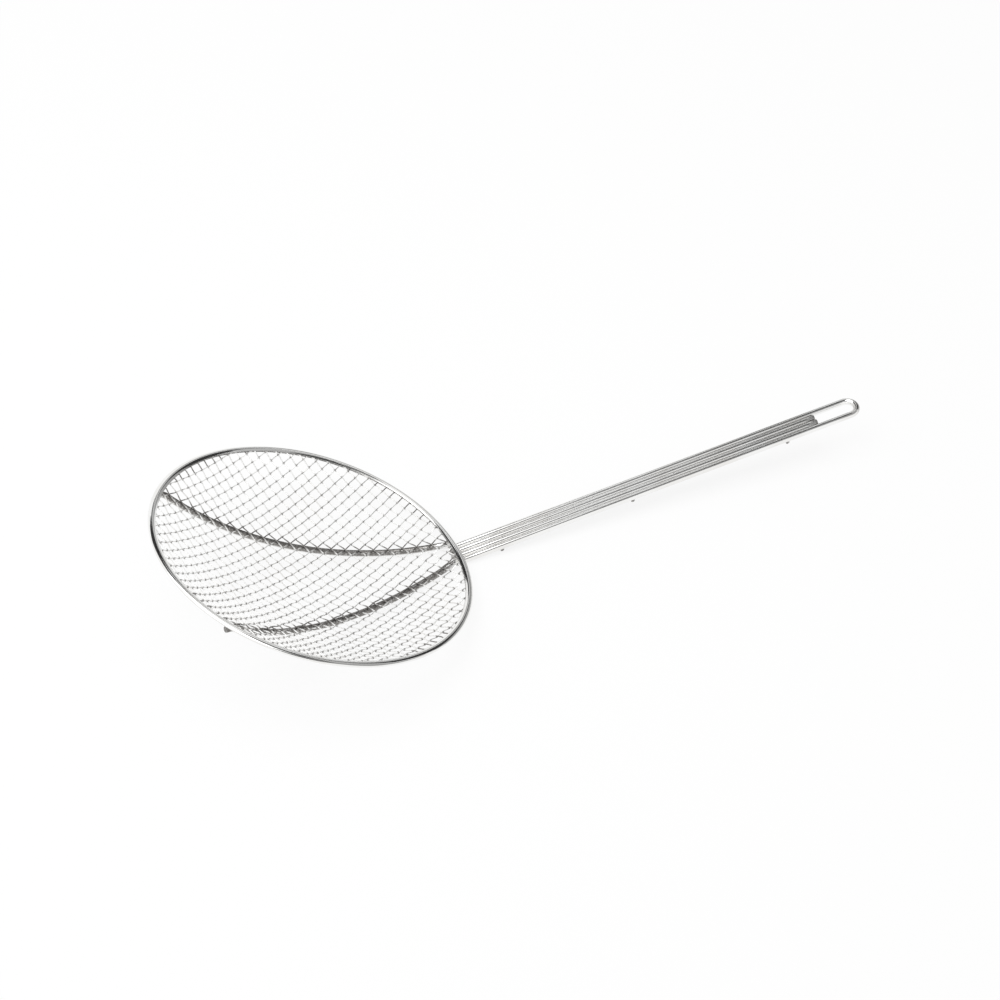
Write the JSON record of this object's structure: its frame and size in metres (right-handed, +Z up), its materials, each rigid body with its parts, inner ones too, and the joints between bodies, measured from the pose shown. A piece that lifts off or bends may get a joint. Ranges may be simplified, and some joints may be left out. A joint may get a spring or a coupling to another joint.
{
  "type": "spider skimmer",
  "caption": "Round spider skimmer: a shallow bowl of woven wire cloth in a folded steel band, on a long flat handle of parallel wires with a hanging loop.",
  "frame": {"origin": "on the table, under the middle of the skimmer's bounding box, with the skimmer lying at rest on its bowl and the cross bar nearest the bowl", "axes": "+X from the bowl along the handle to the hanging loop, +Z up from the table, +Y to the left of the handle seen from the bowl"},
  "size_m": [0.4958, 0.216, 0.0823],
  "materials": {
    "plated_band": "bright plated sheet, lightly brushed along the hoop",
    "plated_cloth": "bright plated fine wire",
    "plated_wire": "bright plated drawn wire",
    "plated_bar": "bright plated drawn wire with cut ends"
  },
  "bodies": {
    "root": {"rim_band": "plated_band", "cloth_wires_lengthwise": "plated_cloth", "cloth_wires_crosswise": "plated_cloth", "frame_wire": "plated_wire", "left_short_wire": "plated_wire", "right_short_wire": "plated_wire", "crossbar_at_bowl": "plated_bar", "crossbar_at_middle": "plated_bar", "crossbar_at_loop": "plated_bar"}
  },
  "joints": []
}
